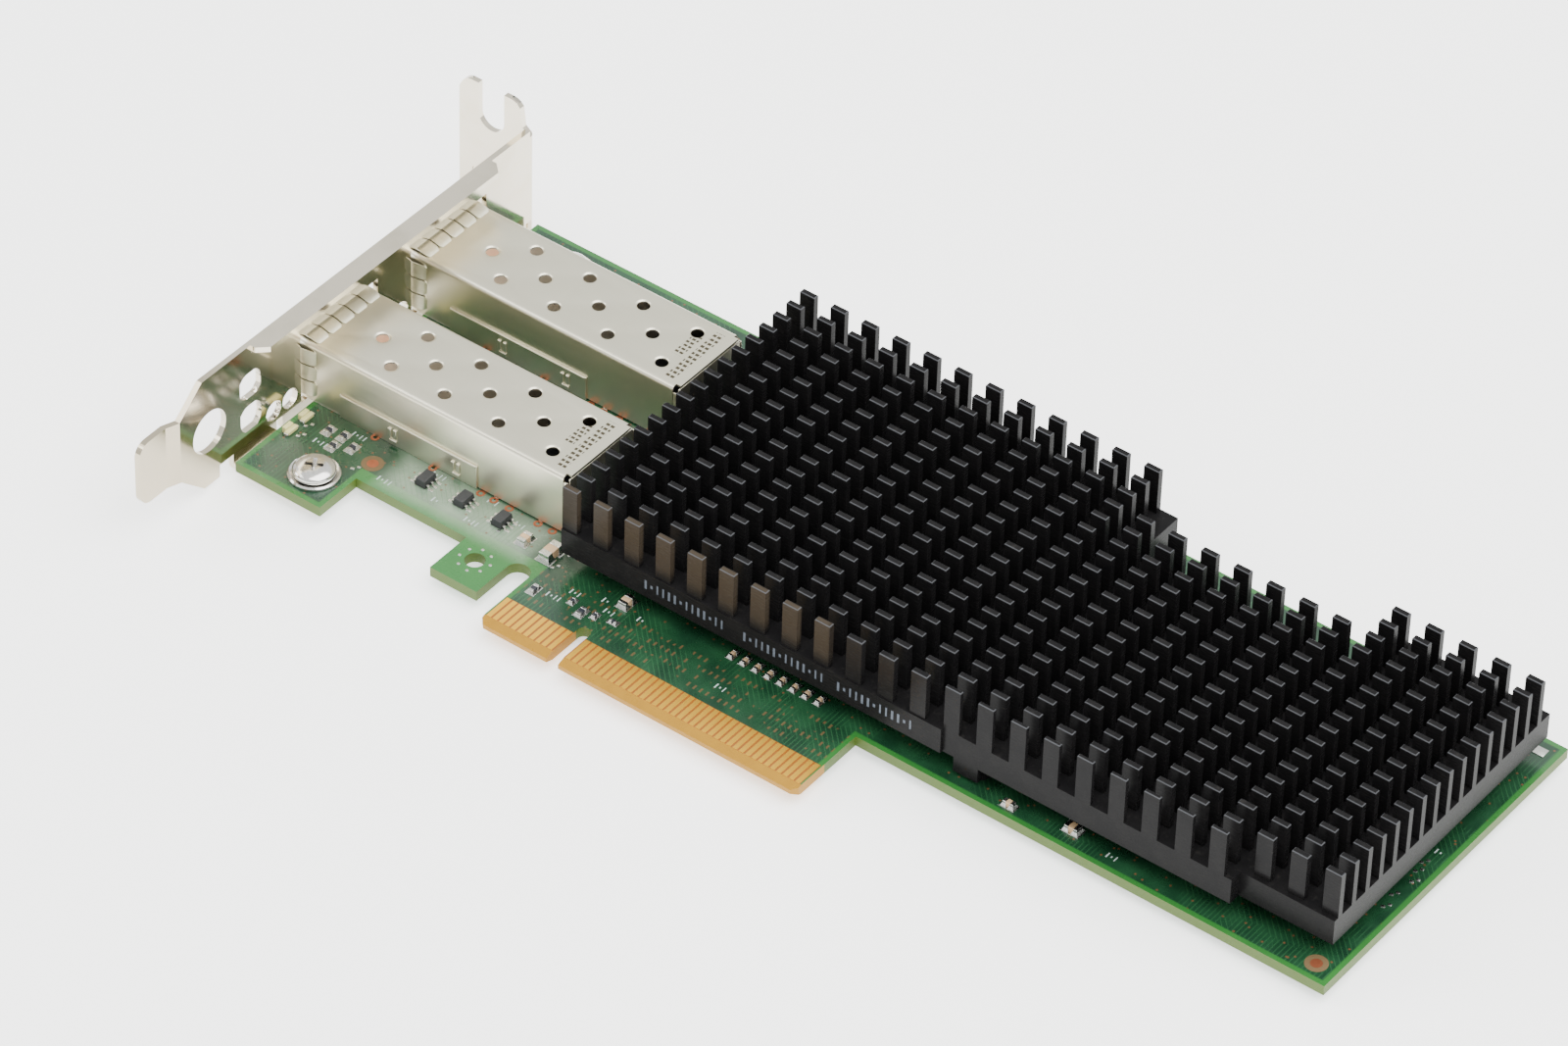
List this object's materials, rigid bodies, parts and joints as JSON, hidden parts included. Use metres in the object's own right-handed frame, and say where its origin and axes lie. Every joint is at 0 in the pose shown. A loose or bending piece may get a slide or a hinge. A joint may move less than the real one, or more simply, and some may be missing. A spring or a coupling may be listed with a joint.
{
  "type": "network interface card",
  "caption": "Two-port low-profile network interface card with finned heatsink, port cages and slot bracket.",
  "frame": {"origin": "centre of the card edge's key notch, on the finger edge, at the component side of the board", "axes": "+X along the board away from the bracket, +Y from the finger edge to the top edge, +Z out of the component side"},
  "size_m": [0.1811, 0.0809, 0.0227],
  "materials": {
    "board": "semi-gloss solder mask",
    "contact_gold": "gold plating",
    "bracket_steel": "bright nickel",
    "cage_metal": "satin nickel",
    "spring_steel": "satin nickel",
    "screw_steel": "zinc plate",
    "heatsink_black": "black anodised",
    "connector_black": "moulded",
    "solder_tin": "tinned",
    "package_black": "moulded",
    "capacitor_ceramic": "fired",
    "resistor_film": "glazed",
    "light_resin": "clear resin",
    "thermal_rubber": "soft"
  },
  "bodies": {
    "root": {"circuit_board": "board", "edge_contacts_component_side": "contact_gold", "edge_contacts_solder_side": "contact_gold", "mounting_bracket": "bracket_steel", "bracket_screws": "screw_steel", "bracket_screw_washers": "screw_steel", "port_1_cage_shell": "cage_metal", "port_1_cage_base": "cage_metal", "port_1_spring_collar": "spring_steel", "port_1_connector_housing": "connector_black", "port_1_connector_leads": "solder_tin", "port_2_cage_shell": "cage_metal", "port_2_cage_base": "cage_metal", "port_2_spring_collar": "spring_steel", "port_2_connector_housing": "connector_black", "port_2_connector_leads": "solder_tin", "heatsink": "heatsink_black", "heatsink_screws": "screw_steel", "thermal_pad": "thermal_rubber", "controller_chip": "package_black", "logic_chips": "package_black", "logic_chip_leads": "solder_tin", "memory_chip": "package_black", "memory_chip_leads": "solder_tin", "clock_crystal": "screw_steel", "power_inductors": "package_black", "link_lights": "light_resin", "chip_capacitors": "capacitor_ceramic", "chip_capacitor_ends": "solder_tin", "chip_resistors": "resistor_film", "chip_resistor_ends": "solder_tin"}
  },
  "joints": []
}
